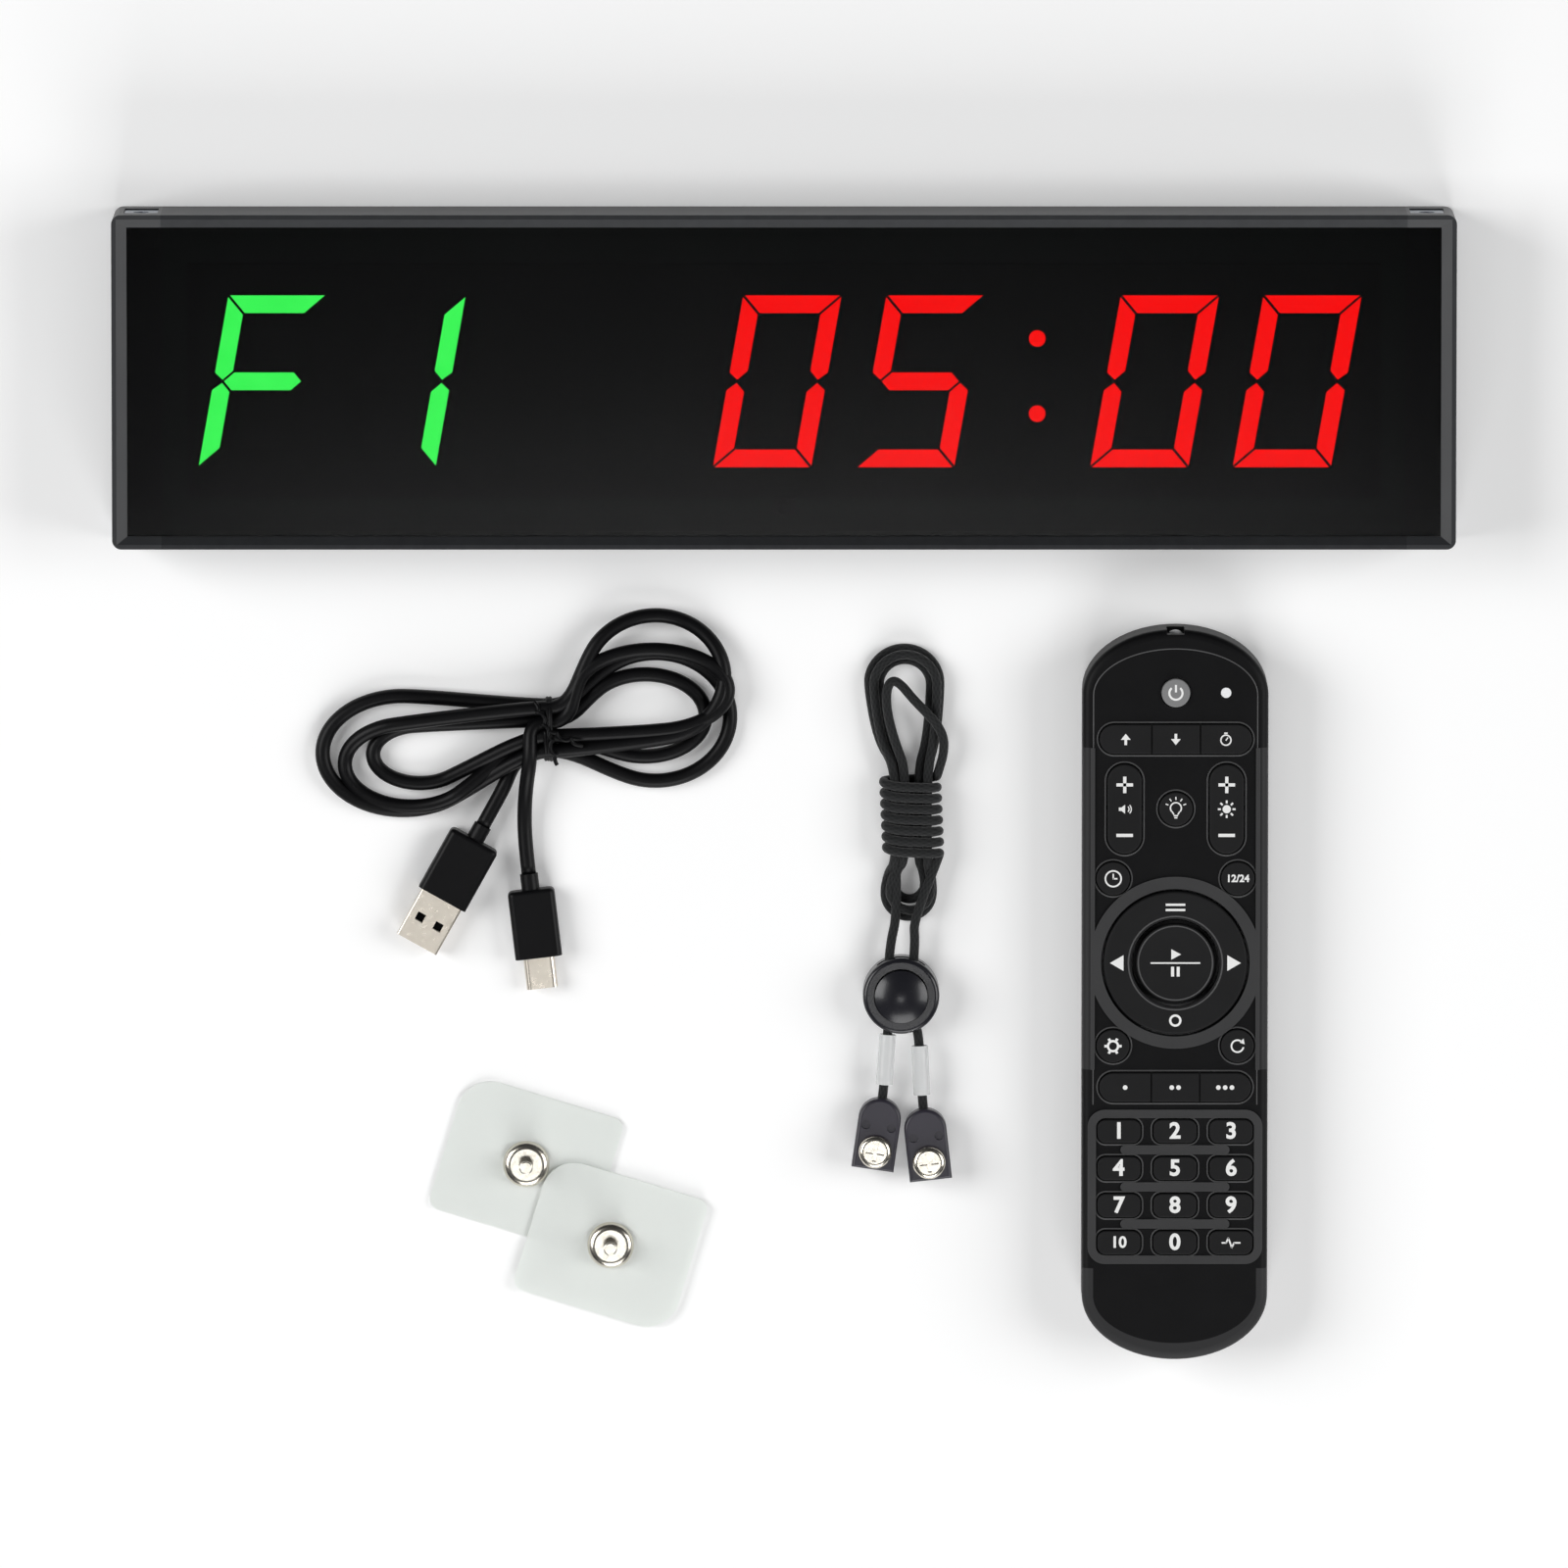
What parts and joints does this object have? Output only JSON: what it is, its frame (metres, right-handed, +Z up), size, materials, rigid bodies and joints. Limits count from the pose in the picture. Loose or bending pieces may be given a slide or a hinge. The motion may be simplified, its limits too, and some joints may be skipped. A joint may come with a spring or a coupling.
{
  "type": "gym round timer kit",
  "caption": "Wide wall-hung round timer display with its remote control, USB power cable, hanging rope with cord lock, and adhesive stud hooks, laid out flat.",
  "frame": {"origin": "centre of the laid-out kit on the table plane", "axes": "+X along the display, +Y to the display's top side, +Z up, out of the display's face"},
  "size_m": [0.356, 0.3068, 0.028],
  "materials": {
    "case_metal": "satin black anodised",
    "cap_plastic": "satin",
    "screw_steel": "plated",
    "smoked_lens": "polished smoked acrylic",
    "housing_plastic": "black face",
    "green_light": "lit diffuser",
    "red_light": "lit diffuser",
    "chip_plastic": "moulded",
    "board_laminate": "solder mask",
    "bright_metal": "bright",
    "remote_plastic": "fine texture",
    "mat_rubber": "matt",
    "light_lens": "clear",
    "trim_plastic": "satin grey",
    "key_rubber": "matt",
    "cable_rubber": "satin",
    "plug_metal": "nickel plated",
    "rope_braid": "braided",
    "lock_plastic": "moulded",
    "sleeve_plastic": "clear",
    "tab_plastic": "moulded",
    "nickel": "nickel plated",
    "pad_film": "translucent"
  },
  "bodies": {
    "root": {"case_extrusion": "case_metal", "end_cap_left": "cap_plastic", "end_cap_right": "cap_plastic", "end_cap_screws": "screw_steel", "hanging_inserts": "screw_steel", "front_lens": "smoked_lens", "segment_housing": "housing_plastic", "green_segments": "green_light", "red_segments": "red_light", "led_chips": "chip_plastic", "display_board": "board_laminate", "control_chips": "chip_plastic", "buzzer": "chip_plastic", "coin_cell": "bright_metal", "infrared_receiver": "chip_plastic", "usb_socket": "bright_metal", "remote_top_shell": "remote_plastic", "remote_bottom_shell": "remote_plastic", "batteries": "bright_metal", "battery_contacts": "bright_metal", "remote_board": "board_laminate", "contact_mat": "mat_rubber", "remote_lights": "light_lens", "remote_trim": "trim_plastic", "cable_lead_a": "cable_rubber", "cable_lead_c": "cable_rubber", "cable_hank": "cable_rubber", "cable_tie": "cable_rubber", "usb_a_boot": "cable_rubber", "usb_a_shell": "plug_metal", "usb_c_boot": "cable_rubber", "usb_c_shell": "plug_metal", "rope_leads": "rope_braid", "rope_hank": "rope_braid", "cord_lock_body": "lock_plastic", "cord_lock_spring": "lock_plastic", "rope_sleeves": "sleeve_plastic", "rope_end_tabs": "tab_plastic", "rope_end_screws": "nickel", "adhesive_pads": "pad_film", "hook_studs": "nickel"},
    "power_key": {"power_key": "key_rubber"},
    "count_keys": {"count_keys": "key_rubber"},
    "lamp_key": {"lamp_key": "key_rubber"},
    "clock_key": {"clock_key": "key_rubber"},
    "hour_format_key": {"hour_format_key": "key_rubber"},
    "start_key": {"start_key": "key_rubber"},
    "set_key": {"set_key": "key_rubber"},
    "reset_key": {"reset_key": "key_rubber"},
    "mode_keys": {"mode_keys": "key_rubber"},
    "number_row_1": {"number_row_1": "key_rubber"},
    "number_row_2": {"number_row_2": "key_rubber"},
    "number_row_3": {"number_row_3": "key_rubber"},
    "number_row_4": {"number_row_4": "key_rubber"},
    "volume_rocker": {"volume_rocker": "key_rubber"},
    "brightness_rocker": {"brightness_rocker": "key_rubber"},
    "direction_ring": {"direction_ring": "key_rubber"},
    "ring_carrier": {"ring_carrier": "key_rubber"},
    "battery_door": {"battery_door": "remote_plastic"},
    "cord_lock_button": {"cord_lock_button": "lock_plastic"}
  },
  "joints": [
    {"name": "power_key_press", "type": "slide", "parent": "root", "child": "power_key", "axis": [0, 0, -1], "range_m": [0, 0.0008], "stiffness_N_per_m": 500},
    {"name": "count_keys_press", "type": "slide", "parent": "root", "child": "count_keys", "axis": [0, 0, -1], "range_m": [0, 0.0008], "stiffness_N_per_m": 500},
    {"name": "lamp_key_press", "type": "slide", "parent": "root", "child": "lamp_key", "axis": [0, 0, -1], "range_m": [0, 0.0008], "stiffness_N_per_m": 500},
    {"name": "clock_key_press", "type": "slide", "parent": "root", "child": "clock_key", "axis": [0, 0, -1], "range_m": [0, 0.0008], "stiffness_N_per_m": 500},
    {"name": "hour_format_key_press", "type": "slide", "parent": "root", "child": "hour_format_key", "axis": [0, 0, -1], "range_m": [0, 0.0008], "stiffness_N_per_m": 500},
    {"name": "start_key_press", "type": "slide", "parent": "root", "child": "start_key", "axis": [0, 0, -1], "range_m": [0, 0.0008], "stiffness_N_per_m": 500},
    {"name": "set_key_press", "type": "slide", "parent": "root", "child": "set_key", "axis": [0, 0, -1], "range_m": [0, 0.0008], "stiffness_N_per_m": 500},
    {"name": "reset_key_press", "type": "slide", "parent": "root", "child": "reset_key", "axis": [0, 0, -1], "range_m": [0, 0.0008], "stiffness_N_per_m": 500},
    {"name": "mode_keys_press", "type": "slide", "parent": "root", "child": "mode_keys", "axis": [0, 0, -1], "range_m": [0, 0.0008], "stiffness_N_per_m": 500},
    {"name": "number_row_1_press", "type": "slide", "parent": "root", "child": "number_row_1", "axis": [0, 0, -1], "range_m": [0, 0.0008], "stiffness_N_per_m": 500},
    {"name": "number_row_2_press", "type": "slide", "parent": "root", "child": "number_row_2", "axis": [0, 0, -1], "range_m": [0, 0.0008], "stiffness_N_per_m": 500},
    {"name": "number_row_3_press", "type": "slide", "parent": "root", "child": "number_row_3", "axis": [0, 0, -1], "range_m": [0, 0.0008], "stiffness_N_per_m": 500},
    {"name": "number_row_4_press", "type": "slide", "parent": "root", "child": "number_row_4", "axis": [0, 0, -1], "range_m": [0, 0.0008], "stiffness_N_per_m": 500},
    {"name": "volume_rocker_tilt", "type": "hinge", "parent": "root", "child": "volume_rocker", "pos_m": [0.0905, -0.0056, 0.0163], "axis": [1, 0, 0], "range_deg": [-3, 3], "stiffness_Nm_per_rad": 0.05},
    {"name": "brightness_rocker_tilt", "type": "hinge", "parent": "root", "child": "brightness_rocker", "pos_m": [0.1176, -0.0056, 0.0163], "axis": [1, 0, 0], "range_deg": [-3, 3], "stiffness_Nm_per_rad": 0.05},
    {"name": "ring_tilt_up_down", "type": "hinge", "parent": "root", "child": "ring_carrier", "pos_m": [0.10405, -0.04675, 0.01645], "axis": [1, 0, 0], "range_deg": [-2, 2], "stiffness_Nm_per_rad": 0.1},
    {"name": "ring_tilt_left_right", "type": "hinge", "parent": "ring_carrier", "child": "direction_ring", "pos_m": [0.10405, -0.04675, 0.01665], "axis": [0, 1, 0], "range_deg": [-2, 2], "stiffness_Nm_per_rad": 0.1},
    {"name": "battery_door_slide", "type": "slide", "parent": "root", "child": "battery_door", "axis": [0, -1, 0], "range_m": [0, 0.008]},
    {"name": "lock_button_press", "type": "slide", "parent": "root", "child": "cord_lock_button", "axis": [0, 0, -1], "range_m": [0, 0.0025], "stiffness_N_per_m": 1500, "deforming": ["cord_lock_spring"]}
  ]
}
